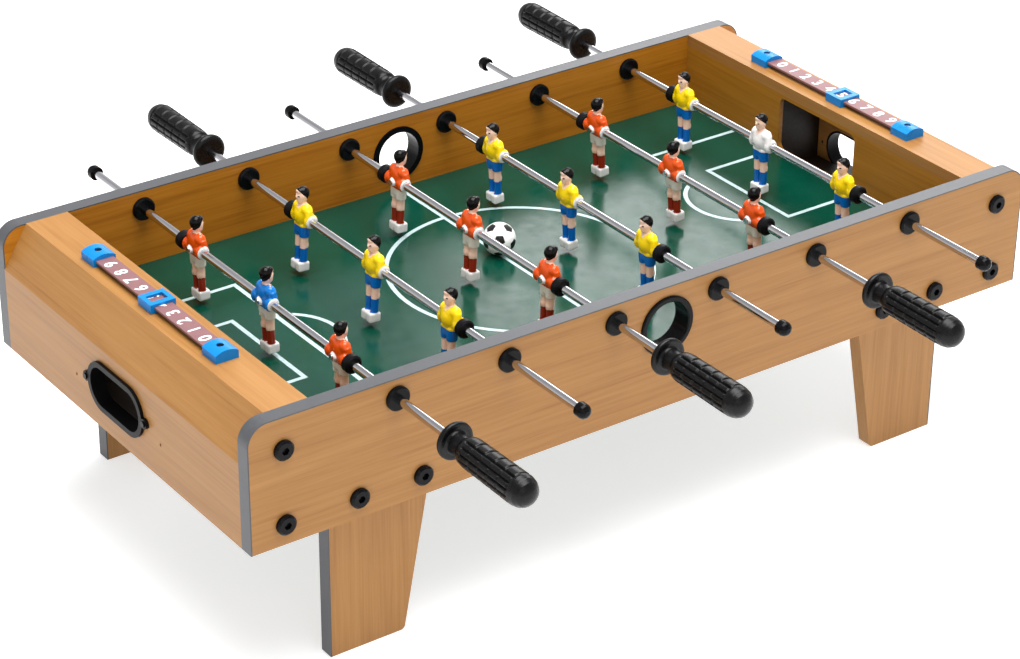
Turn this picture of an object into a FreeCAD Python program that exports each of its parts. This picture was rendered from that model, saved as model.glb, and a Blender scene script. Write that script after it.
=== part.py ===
"""Tabletop foosball: a laminated board box on four flat legs, six sliding and spinning rods with
eighteen figures, two serve rings, two goals with ball exits, and two sliding score counters.

Frame: X along the table, Y across it, Z up, millimetres. The origin is on the ground under the
middle of the table. Front is -Y. Rods 1 to 6 run across the table and are counted from -X.
"""
import FreeCAD, Part
import math
import os
import Sketcher

V = FreeCAD.Vector
doc = FreeCAD.newDocument("TabletopFoosball")
sheet = doc.addObject("Spreadsheet::Sheet", "dims")

# ---------------------------------------------------------------- driving dimensions
SIZES = [
    ("table_length", 690, "overall length of the box"),
    ("table_width", 356, "over the outer faces of the two side panels"),
    ("wall", 12, "side panel and leg thickness"),
    ("goal_thick", 4, "goal board thickness"),
    ("cover_wall", 9, "thickness of the folded end cover"),
    ("panel_lift", 114, "underside of the side panels above the ground"),
    ("panel_height", 98, "height of the side panels"),
    ("corner_radius", 16, "rounding of the panels' top corners"),
    ("band", 1, "thickness of the grey edge bands"),
    ("field_top", 151, "playing surface above the ground"),
    ("field_thick", 4, "thickness of the playing board"),
    ("groove_depth", 5, "how far the playing board runs into the side panels"),
    ("goal_inner", 291, "inner face of a goal board from the table centre"),
    ("goal_half", 45.5, "half the width of a goal mouth"),
    ("goal_sill", 154, "lower edge of a goal mouth"),
    ("goal_head", 200, "upper edge of a goal mouth"),
    ("goal_round", 6, "corner radius of a goal mouth"),
    ("fold_x", 325, "where the end cover's flat top ends"),
    ("fold_z", 180, "where the end cover's slope meets its upright face"),
    ("tray_floor", 136, "top of the ball tray behind each goal"),
    ("exit_z", 150, "height of the ball exit's centre"),
    ("exit_long", 38.6, "ball exit: straight part, between the end centres"),
    ("exit_rad", 15.2, "ball exit: end radius of the clear opening"),
    ("bezel_liner", 1.75, "wall of the exit bezel's liner"),
    ("bezel_rim", 4.2, "width of the exit bezel's rim"),
    ("bezel_thick", 2.5, "thickness of the exit bezel's rim"),
    ("ear_y", 41.2, "screw ears of the exit bezel from its centre"),
    ("ear_rad", 3.9, "radius of those ears"),
    ("leg_outer", 278, "straight outer edge of a leg from the table centre"),
    ("leg_toe", 217, "inner corner of a leg at the ground"),
    ("leg_head", 190, "inner corner of a leg at its top"),
    ("leg_top", 146, "top of a leg"),
    ("leg_round", 4, "rounding of a leg's inner foot corner"),
    ("rod_pitch", 91.4, "distance between neighbouring rods"),
    ("rod_height", 197, "rod axis above the ground"),
    ("rod_rad", 3.2, "radius of a rod"),
    ("rod_bore", 2, "inner radius of the hollow rod"),
    ("running_gap", 0.05, "radial play between a rod and what turns on it"),
    ("bush_flange", 9.1, "radius of the rod bushing's flange"),
    ("bush_thick", 3, "thickness of the flange and of the inner ring"),
    ("bush_sleeve", 5.5, "radius of the bushing's sleeve"),
    ("serve_z", 181, "height of the serve hole's centre"),
    ("serve_clear", 18.5, "clear radius of the serve ring"),
    ("serve_liner", 20, "outer radius of its liner"),
    ("serve_rim", 23, "radius of its rim"),
    ("serve_thick", 2.2, "thickness of its rim"),
    ("serve_back", 1.5, "thickness of the ring inside the box"),
    ("bolt_head", 7.4, "radius of a bolt head"),
    ("bolt_crown", 3.6, "height of a bolt head"),
    ("bolt_rad", 3, "radius of a bolt shank"),
    ("bolt_long", 30, "length under the head"),
    ("bolt_play", 0.2, "clearance of a bolt in the boards"),
    ("bolt_corner", 318, "corner bolts from the table centre"),
    ("bolt_high", 187.5, "upper corner bolt"),
    ("bolt_low", 130, "lower corner bolt and leg bolts"),
    ("bolt_leg_a", 260, "outer leg bolt from the table centre"),
    ("bolt_leg_b", 208.5, "inner leg bolt from the table centre"),
    ("barrel_rad", 5, "radius of a barrel nut"),
    ("barrel_long", 14, "length of a barrel nut"),
    ("nut_rad", 5.6, "corner radius of a leg nut"),
    ("nut_thick", 5, "thickness of a leg nut"),
    ("block_inner", 304, "corner block: inner face"),
    ("block_outer", 335, "corner block: outer face"),
    ("block_depth", 26, "corner block: size across the table"),
    ("man_pitch", 97.2, "distance between figures on one rod"),
    ("man_half", 12, "half the width of a figure's hub"),
    ("hub_rad", 4.7, "radius of a figure's hub"),
    ("foot_drop", 42, "sole of a figure below the rod axis"),
    ("head_rad", 6, "radius of a figure's head"),
    ("head_top", 25.5, "top of a figure above the rod axis"),
    ("bumper_rad", 6.9, "radius of a rubber bumper"),
    ("bumper_wide", 7, "width of a rubber bumper"),
    ("collar_near", 233, "table side of a handle's collar from the middle of its rod"),
    ("collar_rad", 13.8, "radius of the collar"),
    ("grip_end", 322, "outer end of a handle from the middle of its rod"),
    ("grip_rad", 11.6, "radius of the grip"),
    ("neck_rad", 7, "radius of the neck"),
    ("cap_near", 247, "inner end of the rod's end cap"),
    ("cap_end", 256, "outer end of the rod's end cap"),
    ("cap_rad", 5.4, "radius of the end cap"),
    ("score_x", 309, "middle of a score rail from the table centre"),
    ("rail_wide", 14, "width of the rail"),
    ("rail_thick", 1.6, "thickness of the rail"),
    ("rail_rise", 3.2, "underside of the rail above the board"),
    ("rail_half", 81, "half the length of the rail"),
    ("score_cap_in", 76, "inner end of a rail end cap"),
    ("score_cap_long", 18, "length of a rail end cap"),
    ("score_cap_wide", 18, "width of a rail end cap"),
    ("score_cap_tall", 8.5, "height of a rail end cap"),
    ("score_cap_arch", 16.5, "radius of its arched top"),
    ("pointer_long", 18, "length of the sliding pointer"),
    ("pointer_wide", 20, "width of the sliding pointer"),
    ("pointer_tall", 7, "top of the pointer above the board"),
    ("pointer_left_y", 1, "where the left pointer stands"),
    ("pointer_right_y", -9, "where the right pointer stands"),
    ("ball_rad", 12.75, "radius of the ball"),
    ("ball_y", 27, "where the ball lies"),
]
REST = [-9, -11.8, 0.2, -0.3, -9, -8]
REST_LEAN = [-0.4, -3.5, 3, 3, -3.8, 2]
for i, rest in enumerate(REST, start=1):
    SIZES.append(("rod_shift_%s" % "abcdef"[i - 1], rest, "how far rod %d is pushed along Y" % i))
for i, lean in enumerate(REST_LEAN, start=1):
    SIZES.append(("rod_lean_%s" % "abcdef"[i - 1], lean, "how far rod %d is turned, in degrees" % i))

values = {}
for line, (word, number, what) in enumerate(SIZES, start=1):
    sheet.set("A%d" % line, what)
    sheet.set("B%d" % line, str(number))
    sheet.setAlias("B%d" % line, word)
    values[word] = float(number)
doc.recompute()


class Dim:
    """A length together with the spreadsheet expression that gives it."""

    def __init__(self, value, text):
        self.value = value
        self.text = text

    def __add__(self, other):
        other = dim(other)
        return Dim(self.value + other.value, "(%s + %s)" % (self.text, other.text))

    def __sub__(self, other):
        other = dim(other)
        return Dim(self.value - other.value, "(%s - %s)" % (self.text, other.text))

    def __mul__(self, other):
        other = dim(other)
        return Dim(self.value * other.value, "(%s * %s)" % (self.text, other.text))

    def __truediv__(self, other):
        other = dim(other)
        return Dim(self.value / other.value, "(%s / %s)" % (self.text, other.text))

    def __radd__(self, other):
        return dim(other) + self

    def __rsub__(self, other):
        return dim(other) - self

    def __neg__(self):
        return Dim(-self.value, "(0 - %s)" % self.text)


def dim(number):
    """Turns a plain number into a Dim and leaves a Dim alone."""
    if isinstance(number, Dim):
        return number
    return Dim(float(number), "(%r)" % float(number))


def d(word):
    """The named cell of the sheet."""
    return Dim(values[word], "dims.%s" % word)


def bind(thing, prop, size):
    """Ties one property to the sheet."""
    thing.setExpression(prop, dim(size).text)


def place(thing, x=0, y=0, z=0, axis=None, angle=0):
    """Turns an object by an angle about an axis, then ties its position to the sheet."""
    turn = FreeCAD.Rotation(axis or V(0, 0, 1), angle)
    base = V(dim(x).value, dim(y).value, dim(z).value)
    thing.Placement = FreeCAD.Placement(base, turn)
    bind(thing, "Placement.Base.x", x)
    bind(thing, "Placement.Base.y", y)
    bind(thing, "Placement.Base.z", z)
    return thing


# ---------------------------------------------------------------- builders
def new_body(name):
    return doc.addObject("PartDesign::Body", name)


def plane_of(body, role):
    return [f for f in body.Origin.OriginFeatures if f.Role == role][0]


def new_sketch(body, name, role):
    sketch = body.newObject("Sketcher::SketchObject", name)
    sketch.AttachmentSupport = (plane_of(body, role), [""])
    sketch.MapMode = "FlatFace"
    return sketch


def pin(sketch, geo, point, x, y):
    """Dimensions one sketch point from the sketch origin."""
    for kind, size in (("DistanceX", dim(x)), ("DistanceY", dim(y))):
        if abs(size.value) < 1e-9:
            axis = -2 if kind == "DistanceX" else -1
            sketch.addConstraint(Sketcher.Constraint("PointOnObject", geo, point, axis))
        else:
            index = sketch.addConstraint(
                Sketcher.Constraint(kind, -1, 1, geo, point, size.value)
            )
            sketch.setExpression("Constraints[%d]" % index, size.text)


def outline(sketch, points):
    """A closed polygon whose corners are all dimensioned."""
    count = len(points)
    flat = [V(dim(x).value, dim(y).value, 0) for x, y in points]
    first = sketch.GeometryCount
    for i in range(count):
        sketch.addGeometry(Part.LineSegment(flat[i], flat[(i + 1) % count]), False)
    for i in range(count):
        after = first + (i + 1) % count
        sketch.addConstraint(Sketcher.Constraint("Coincident", first + i, 2, after, 1))
    for i, (x, y) in enumerate(points):
        pin(sketch, first + i, 1, x, y)


def circle(sketch, x, y, radius):
    centre = V(dim(x).value, dim(y).value, 0)
    geo = sketch.addGeometry(Part.Circle(centre, V(0, 0, 1), dim(radius).value), False)
    index = sketch.addConstraint(Sketcher.Constraint("Radius", geo, dim(radius).value))
    sketch.setExpression("Constraints[%d]" % index, dim(radius).text)
    pin(sketch, geo, 3, x, y)


def pad(body, sketch, length):
    """Pads a sketch to both sides of its plane by half of length each."""
    feature = body.newObject("PartDesign::Pad", sketch.Name + "Pad")
    feature.Profile = sketch
    feature.SideType = "Symmetric"
    bind(feature, "Length", length)
    body.Tip = feature
    doc.recompute()
    return feature


def pocket(body, sketch, length):
    """Cuts a sketch to both sides of its plane by half of length each."""
    feature = body.newObject("PartDesign::Pocket", sketch.Name + "Pocket")
    feature.Profile = sketch
    feature.SideType = "Symmetric"
    bind(feature, "Length", length)
    before = body.Shape.Volume
    body.Tip = feature
    doc.recompute()
    if not body.Shape.Volume < before - 1e-3:
        raise RuntimeError("pocket %s cut nothing" % feature.Name)
    return feature


def round_edges(body, radius, chosen):
    """Fillets the edges of a body that chosen(edge) picks."""
    tip = body.Tip
    names = []
    for i, edge in enumerate(tip.Shape.Edges, start=1):
        if chosen(edge):
            names.append("Edge%d" % i)
    feature = body.newObject("PartDesign::Fillet", tip.Name + "Round")
    feature.Base = (tip, names)
    bind(feature, "Radius", radius)
    body.Tip = feature
    doc.recompute()
    if "Invalid" in feature.State or not names:
        raise RuntimeError("fillet %s failed on %s" % (feature.Name, names))
    return feature


def turned(name, profile):
    """A body turned about the Y axis from a profile of (radius, y) corners."""
    body = new_body(name)
    sketch = new_sketch(body, name + "Profile", "XY_Plane")
    outline(sketch, profile)
    feature = body.newObject("PartDesign::Revolution", name + "Turn")
    feature.Profile = sketch
    feature.ReferenceAxis = (sketch, ["V_Axis"])
    feature.Angle = 360
    body.Tip = feature
    doc.recompute()
    return body


def plate(name, points, thick, role="XZ_Plane"):
    """A flat board: a polygon padded evenly to both sides of its plane."""
    body = new_body(name)
    sketch = new_sketch(body, name + "Outline", role)
    outline(sketch, points)
    pad(body, sketch, thick)
    return body


def box(name, x0, x1, y0, y1, z0, z1):
    thing = doc.addObject("Part::Box", name)
    bind(thing, "Length", dim(x1) - x0)
    bind(thing, "Width", dim(y1) - y0)
    bind(thing, "Height", dim(z1) - z0)
    return place(thing, x0, y0, z0)


TURN = {"X": (V(0, 1, 0), 90), "Y": (V(1, 0, 0), -90), "Z": (V(0, 0, 1), 0)}


def rod(name, along, radius, length, x=0, y=0, z=0):
    """A cylinder that starts at x, y, z and runs towards +X, +Y or +Z."""
    thing = doc.addObject("Part::Cylinder", name)
    bind(thing, "Radius", radius)
    bind(thing, "Height", length)
    axis, angle = TURN[along]
    return place(thing, x, y, z, axis, angle)


def fuse(name, things):
    thing = doc.addObject("Part::MultiFuse", name)
    thing.Shapes = things
    thing.Refine = True
    return thing


def cut(name, base, tools):
    thing = doc.addObject("Part::Cut", name)
    thing.Base = base
    if len(tools) == 1:
        thing.Tool = tools[0]
    else:
        thing.Tool = fuse(name + "Tools", tools)
    thing.Refine = True
    return thing


def stadium(name, along_x, x, half_straight, radius, z):
    """A slot-shaped bar along X: two round ends joined by a flat middle, centred on y = 0."""
    parts = [
        box(name + "Mid", x, x + along_x, -half_straight, half_straight, z - radius, z + radius),
        rod(name + "EndA", "X", radius, along_x, x, half_straight, z),
        rod(name + "EndB", "X", radius, along_x, x, -half_straight, z),
    ]
    return fuse(name, parts)


def link(name, master, x=0, y=0, z=0, axis=None, angle=0):
    thing = doc.addObject("App::Link", name)
    thing.LinkedObject = master
    thing.LinkTransform = True
    return place(thing, x, y, z, axis, angle)


nodes = []


def node(label, things, x=0, y=0, z=0, angle=0, lean=0):
    """One named sub-part, of one or several separate solids.

    It is turned by lean about its own Y axis, then by angle about Z.
    """
    thing = doc.addObject("Part::Compound", label)
    thing.Label = label
    thing.Links = things
    place(thing, x, y, z)
    turn = FreeCAD.Rotation(V(0, 0, 1), angle).multiply(FreeCAD.Rotation(V(0, 1, 0), lean))
    thing.Placement = FreeCAD.Placement(thing.Placement.Base, turn)
    nodes.append(thing)
    return thing


# ---------------------------------------------------------------- shared sizes
half_length = d("table_length") / 2
half_width = d("table_width") / 2
inside = half_width - d("wall")
panel_top = d("panel_lift") + d("panel_height")
goal_back = d("goal_inner") + d("goal_thick")
ROD_X = [d("rod_pitch") * (i - 2.5) for i in range(6)]
ROD_Y = [d("rod_shift_%s" % letter) for letter in "abcdef"]
bolt_hole = d("bolt_rad") + d("bolt_play")
BOLT_SPOTS = []
for sign in (-1, 1):
    BOLT_SPOTS.append((d("bolt_corner") * sign, d("bolt_high")))
    BOLT_SPOTS.append((d("bolt_corner") * sign, d("bolt_low")))
    BOLT_SPOTS.append((d("bolt_leg_a") * sign, d("bolt_low")))
    BOLT_SPOTS.append((d("bolt_leg_b") * sign, d("bolt_low")))

# ---------------------------------------------------------------- side panels
def panel_blank(name, inset, thick):
    """The outline of a side panel, with its top corners rounded, smaller by inset on three sides."""
    right = half_length - inset
    top = panel_top - inset
    corners = [
        (-right, d("panel_lift")),
        (right, d("panel_lift")),
        (right, top),
        (-right, top),
    ]
    blank = plate(name, corners, thick)
    round_edges(
        blank,
        d("corner_radius") - inset,
        lambda e: e.BoundBox.ZMin > top.value - 0.01 and e.BoundBox.XLength < 0.01,
    )
    return blank


for label, side in (("side_panel_front", -1), ("side_panel_back", 1)):
    body = panel_blank(label + "_body", d("band"), d("wall"))
    holes = new_sketch(body, label + "_holes", "XZ_Plane")
    for x in ROD_X:
        circle(holes, x, d("rod_height"), d("bush_sleeve"))
    circle(holes, 0, d("serve_z"), d("serve_liner"))
    for x, z in BOLT_SPOTS:
        circle(holes, x, z, bolt_hole)
    pocket(body, holes, d("wall") * 2)
    groove = new_sketch(body, label + "_groove", "YZ_Plane")
    near = (d("wall") / 2 - d("groove_depth")) * -side
    far = (d("wall") / 2 + 1) * -side
    low = d("field_top") - d("field_thick")
    outline(groove, [(near, low), (far, low), (far, d("field_top")), (near, d("field_top"))])
    pocket(body, groove, goal_back * 2)
    node(label, [body], 0, (half_width - d("wall") / 2) * side, 0)

# Grey bands: one wraps the ends and the top of each panel, one lies on each leg's straight edge
wrap = cut(
    "panel_band",
    panel_blank("panel_band_outer", dim(0), d("wall")),
    [panel_blank("panel_band_inner", d("band"), d("wall"))],
)
bands = []
for sy in (-1, 1):
    y = (half_width - d("wall") / 2) * sy
    bands.append(link("panel_band_%d" % (sy + 1), wrap, 0, y, 0))
    for sx in (-1, 1):
        edge = d("leg_outer") if sx > 0 else -d("leg_outer") + d("band")
        y1 = inside - d("wall") if sy > 0 else -inside
        name = "leg_band_%d%d" % (sx + 1, sy + 1)
        bands.append(box(name, edge - d("band"), edge, y1, y1 + d("wall"), 0, d("leg_top")))
node("edge_bands", bands)

# ---------------------------------------------------------------- end covers
slope_x = half_length - d("fold_x")
slope_z = panel_top - d("fold_z")
lean = math.hypot(slope_x.value, slope_z.value)
hypot_text = "sqrt(%s ^ 2 + %s ^ 2)" % (slope_x.text, slope_z.text)
slope = Dim(lean, hypot_text)
under_top = panel_top - d("cover_wall")
cover_in = half_length - d("cover_wall")
# where the inner faces of the folded board meet
inner_fold_x = d("fold_x") - d("cover_wall") * (slope - slope_x) / slope_z
inner_fold_z = d("fold_z") - d("cover_wall") * (slope - slope_z) / slope_x
exit_half = d("exit_long") / 2
liner_out = d("exit_rad") + d("bezel_liner")
for label, sign in (("end_cover_left", -1), ("end_cover_right", 1)):
    corners = [
        (d("goal_inner") * sign, panel_top),
        (d("fold_x") * sign, panel_top),
        (half_length * sign, d("fold_z")),
        (half_length * sign, d("panel_lift")),
        (cover_in * sign, d("panel_lift")),
        (cover_in * sign, inner_fold_z),
        (inner_fold_x * sign, under_top),
        (d("goal_inner") * sign, under_top),
    ]
    body = plate(label + "_body", corners, inside * 2)
    start = (half_length + 5) if sign < 0 else -(cover_in - 5)
    tools = [
        stadium(
            label + "_exit",
            d("cover_wall") + 10,
            -start,
            exit_half,
            liner_out,
            d("exit_z"),
        )
    ]
    for k, y in enumerate((-d("ear_y"), d("ear_y"))):
        name = "%s_pilot_%d" % (label, k)
        tools.append(rod(name, "X", 1.2, d("cover_wall") + 10, -start, y, d("exit_z")))
    for k, y in enumerate((-60, 60)):
        depth_from = half_length * sign - 4 if sign > 0 else half_length * sign - 1
        tools.append(rod("%s_nail_%d" % (label, k), "X", 1.1, 5, depth_from, y, 142))
    for k, y in enumerate((-1, 1)):
        at = (d("score_cap_in") + d("score_cap_long") / 2) * y
        name = "%s_score_pilot_%d" % (label, k)
        tools.append(rod(name, "Z", 1.2, 8, d("score_x") * sign, at, panel_top - 7))
    node(label, [cut(label + "_cut", body, tools)])

# ---------------------------------------------------------------- goal boards
for label, sign in (("goal_board_left", -1), ("goal_board_right", 1)):
    corners = [
        (-inside, d("field_top")),
        (inside, d("field_top")),
        (inside, under_top),
        (-inside, under_top),
    ]
    body = plate(label + "_body", corners, d("goal_thick"), "YZ_Plane")
    mouth = new_sketch(body, label + "_mouth", "YZ_Plane")
    goal = [
        (-d("goal_half"), d("goal_sill")),
        (d("goal_half"), d("goal_sill")),
        (d("goal_half"), d("goal_head")),
        (-d("goal_half"), d("goal_head")),
    ]
    outline(mouth, goal)
    pocket(body, mouth, d("goal_thick") * 2)
    round_edges(
        body,
        d("goal_round"),
        lambda e: abs(abs(e.BoundBox.YMin) - values["goal_half"]) < 0.01
        and e.BoundBox.YLength < 0.01
        and e.BoundBox.ZLength < 0.01,
    )
    node(label, [body], (d("goal_inner") + d("goal_thick") / 2) * sign, 0, 0)

# ---------------------------------------------------------------- ball trays behind the goals
trays = []
cheek_in = d("goal_half") + 1
cheek = 6
for k, sign in enumerate((-1, 1)):
    side_profile = [
        (goal_back * sign, d("tray_floor") - 4),
        (cover_in * sign, d("tray_floor") - 4),
        (cover_in * sign, inner_fold_z),
        (inner_fold_x * sign, under_top),
        (goal_back * sign, under_top),
    ]
    body = plate("tray_%d" % k, side_profile, (cheek_in + cheek) * 2)
    low_x = goal_back if sign > 0 else -cover_in
    hollow = box(
        "tray_hollow_%d" % k,
        low_x - 1,
        low_x + (cover_in - goal_back) + 1,
        -cheek_in,
        cheek_in,
        d("tray_floor"),
        panel_top,
    )
    trays.append(cut("tray_cut_%d" % k, body, [hollow]))
node("goal_trays", trays)

# ---------------------------------------------------------------- exit bezels
bezel_parts = [
    stadium("bezel_rim_bar", d("bezel_thick"), 0, exit_half, d("exit_rad") + d("bezel_rim"), 0),
    stadium("bezel_liner_bar", d("cover_wall"), -d("cover_wall"), exit_half, liner_out, 0),
]
for k, y in enumerate((-d("ear_y"), d("ear_y"))):
    bezel_parts.append(rod("bezel_ear_%d" % k, "X", d("ear_rad"), d("bezel_thick"), 0, y, 0))
bezel_tools = [
    stadium(
        "bezel_clear",
        d("cover_wall") + d("bezel_thick") + 2,
        -d("cover_wall") - 1,
        exit_half,
        d("exit_rad"),
        0,
    )
]
for k, y in enumerate((-d("ear_y"), d("ear_y"))):
    bezel_tools.append(rod("bezel_ear_hole_%d" % k, "X", 1.2, 4, -1, y, 0))
bezel = cut("bezel", fuse("bezel_solid", bezel_parts), bezel_tools)
node(
    "exit_bezels",
    [
        link("bezel_right", bezel, half_length, 0, d("exit_z")),
        link("bezel_left", bezel, -half_length, 0, d("exit_z"), V(0, 0, 1), 180),
    ],
)

# ---------------------------------------------------------------- playing board
field_y = inside + d("groove_depth")
field = box(
    "field_board",
    -goal_back,
    goal_back,
    -field_y,
    field_y,
    d("field_top") - d("field_thick"),
    d("field_top"),
)
node("playfield", [field])

# ---------------------------------------------------------------- legs
leg_corners = [
    (d("leg_toe"), 0),
    (d("leg_outer") - d("band"), 0),
    (d("leg_outer") - d("band"), d("leg_top")),
    (d("leg_head"), d("leg_top")),
]
leg = plate("leg_master", leg_corners, d("wall"))
round_edges(
    leg,
    d("leg_round"),
    lambda e: e.BoundBox.ZMax < 0.01 and e.BoundBox.XMax < values["leg_toe"] + 0.01,
)
leg_holes = new_sketch(leg, "leg_holes", "XZ_Plane")
for x in (d("bolt_leg_a"), d("bolt_leg_b")):
    circle(leg_holes, x, d("bolt_low"), bolt_hole)
pocket(leg, leg_holes, d("wall") * 2)
for label, side in (("legs_front", -1), ("legs_back", 1)):
    y = (inside - d("wall") / 2) * side
    pair = [
        link(label + "_right", leg, 0, y, 0),
        link(label + "_left", leg, 0, y, 0, V(0, 0, 1), 180),
    ]
    node(label, pair)

# ---------------------------------------------------------------- corner blocks
blocks = []
block_corners = [
    (d("block_inner"), d("panel_lift") + 1),
    (d("block_outer"), d("panel_lift") + 1),
    (d("block_outer"), 176),
    (320, 200),
    (d("block_inner"), 200),
]
block = plate("block_master", block_corners, d("block_depth"))
block_bores = new_sketch(block, "block_bores", "XZ_Plane")
for z in (d("bolt_high"), d("bolt_low")):
    circle(block_bores, d("bolt_corner"), z, bolt_hole)
pocket(block, block_bores, d("block_depth") * 2)
barrel_bores = []
for k, z in enumerate((d("bolt_high"), d("bolt_low"))):
    name = "barrel_bore_%d" % k
    long = d("bolt_corner") + d("barrel_long") / 2 - d("block_inner") + 1
    barrel_bores.append(rod(name, "X", d("barrel_rad"), long, d("block_inner") - 1, 0, z))
block_cut = cut("block_cut", block, barrel_bores)
block_y = inside - d("block_depth") / 2
for sy in (-1, 1):
    for k, angle in enumerate((0, 180)):
        name = "block_%d%d" % (sy + 1, k)
        blocks.append(link(name, block_cut, 0, block_y * sy, 0, V(0, 0, 1), angle))
node("corner_blocks", blocks)

# ---------------------------------------------------------------- bolts and nuts
crown = d("bolt_crown")
bolt_body = turned(
    "bolt_turned",
    [
        (0, -d("bolt_long")),
        (d("bolt_rad"), -d("bolt_long")),
        (d("bolt_rad"), 0),
        (d("bolt_head"), 0),
        (d("bolt_head"), crown - 1.2),
        (d("bolt_head") - 1.4, crown),
        (0, crown),
    ],
)
socket = doc.addObject("Part::Prism", "bolt_socket")
socket.Polygon = 6
socket.Circumradius = 2.9
socket.Height = 4
place(socket, 0, crown - 2.4, 0, V(1, 0, 0), -90)
bolt = cut("bolt_master", bolt_body, [socket])
bolts = []
for sy, angle in ((-1, 180), (1, 0)):
    for k, (x, z) in enumerate(BOLT_SPOTS):
        name = "bolt_%d_%d" % (sy + 1, k)
        bolts.append(link(name, bolt, x, half_width * sy, z, V(0, 0, 1), angle))
node("panel_bolts", bolts)

barrel_blank = rod(
    "barrel_blank", "X", d("barrel_rad"), d("barrel_long"), -d("barrel_long") / 2, 0, 0
)
barrel_thread = rod("barrel_thread", "Y", d("bolt_rad"), 20, 0, -10, 0)
barrel = cut("barrel_master", barrel_blank, [barrel_thread])
barrels = []
for sy in (-1, 1):
    for k, (x, z) in enumerate(BOLT_SPOTS):
        if abs(x.value) > values["leg_outer"]:
            barrels.append(link("barrel_%d_%d" % (sy + 1, k), barrel, x, block_y * sy, z))
node("barrel_nuts", barrels)

hexagon = doc.addObject("Part::Prism", "leg_nut_blank")
hexagon.Polygon = 6
bind(hexagon, "Circumradius", d("nut_rad"))
bind(hexagon, "Height", d("nut_thick"))
place(hexagon, 0, -d("nut_thick") / 2, 0, V(1, 0, 0), -90)
nut_thread = rod("leg_nut_thread", "Y", d("bolt_rad"), 20, 0, -10, 0)
leg_nut = cut("leg_nut_master", hexagon, [nut_thread])
leg_nuts = []
nut_y = inside - d("wall") - d("nut_thick") / 2
for sy in (-1, 1):
    for k, (x, z) in enumerate(BOLT_SPOTS):
        if abs(x.value) < values["leg_outer"]:
            leg_nuts.append(link("leg_nut_%d_%d" % (sy + 1, k), leg_nut, x, nut_y * sy, z))
node("leg_nuts", leg_nuts)

# ---------------------------------------------------------------- rod bushings and serve rings
bore = d("rod_rad") + d("running_gap")
through = -d("wall") - d("bush_thick")
bushing = turned(
    "bushing_master",
    [
        (bore, through),
        (d("bush_sleeve"), through),
        (d("bush_sleeve"), 0),
        (d("bush_flange"), 0),
        (d("bush_flange"), d("bush_thick") - 1),
        (d("bush_flange") - 1.2, d("bush_thick")),
        (bore, d("bush_thick")),
    ],
)
bush_ring = turned(
    "bush_ring_master",
    [
        (d("bush_sleeve"), -d("wall")),
        (d("bush_flange"), -d("wall")),
        (d("bush_flange"), through + 1),
        (d("bush_flange") - 1.2, through),
        (d("bush_sleeve"), through),
    ],
)
bushings = []
for sy, angle in ((-1, 180), (1, 0)):
    for k, x in enumerate(ROD_X):
        for what, master in (("bushing", bushing), ("ring", bush_ring)):
            name = "%s_%d_%d" % (what, sy + 1, k)
            y = half_width * sy
            bushings.append(link(name, master, x, y, d("rod_height"), V(0, 0, 1), angle))
node("rod_bushings", bushings)

serve = turned(
    "serve_master",
    [
        (d("serve_clear"), -d("wall")),
        (d("serve_liner"), -d("wall")),
        (d("serve_liner"), 0),
        (d("serve_rim"), 0),
        (d("serve_rim"), d("serve_thick") - 0.8),
        (d("serve_rim") - 0.8, d("serve_thick")),
        (d("serve_clear") + 0.8, d("serve_thick")),
        (d("serve_clear"), d("serve_thick") - 0.8),
    ],
)
serve_inner = turned(
    "serve_inner_master",
    [
        (d("serve_clear"), -d("wall") - d("serve_back")),
        (d("serve_rim"), -d("wall") - d("serve_back")),
        (d("serve_rim"), -d("wall")),
        (d("serve_clear"), -d("wall")),
    ],
)
rings = []
for sy, angle in ((-1, 180), (1, 0)):
    for what, master in (("serve", serve), ("serve_inner", serve_inner)):
        name = "%s_%d" % (what, sy + 1)
        rings.append(link(name, master, 0, half_width * sy, d("serve_z"), V(0, 0, 1), angle))
node("serve_rings", rings)

# ---------------------------------------------------------------- score counters
rail = box(
    "rail_master",
    -d("rail_wide") / 2,
    d("rail_wide") / 2,
    -d("rail_half"),
    d("rail_half"),
    d("rail_rise"),
    d("rail_rise") + d("rail_thick"),
)
node(
    "scorer_rails",
    [
        link("rail_left", rail, -d("score_x"), 0, panel_top, V(0, 0, 1), 180),
        link("rail_right", rail, d("score_x"), 0, panel_top),
    ],
)
cap_block = box(
    "score_cap_block",
    -d("score_cap_wide") / 2,
    d("score_cap_wide") / 2,
    d("score_cap_in"),
    d("score_cap_in") + d("score_cap_long"),
    0,
    d("score_cap_tall"),
)
cap_arch = rod(
    "score_cap_arch_bar",
    "Y",
    d("score_cap_arch"),
    d("score_cap_long") + 2,
    0,
    d("score_cap_in") - 1,
    d("score_cap_tall") - d("score_cap_arch"),
)
cap_shape = doc.addObject("Part::Common", "score_cap_shape")
cap_shape.Base = cap_block
cap_shape.Tool = cap_arch
cap_mid = d("score_cap_in") + d("score_cap_long") / 2
score_cap = cut(
    "score_cap_master",
    cap_shape,
    [
        box(
            "score_cap_slot",
            -d("rail_wide") / 2,
            d("rail_wide") / 2,
            d("score_cap_in") - 1,
            d("rail_half"),
            d("rail_rise"),
            d("rail_rise") + d("rail_thick"),
        ),
        rod("score_cap_bore", "Z", 1.2, 20, 0, cap_mid, -1),
        rod("score_cap_recess", "Z", 2.7, 5, 0, cap_mid, d("score_cap_tall") - 2.2),
    ],
)
caps = []
for k, sign in enumerate((-1, 1)):
    for angle in (0, 180):
        name = "score_cap_%d_%d" % (k, angle)
        x = d("score_x") * sign
        caps.append(link(name, score_cap, x, 0, panel_top, V(0, 0, 1), angle))
node("scorer_end_caps", caps)

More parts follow.
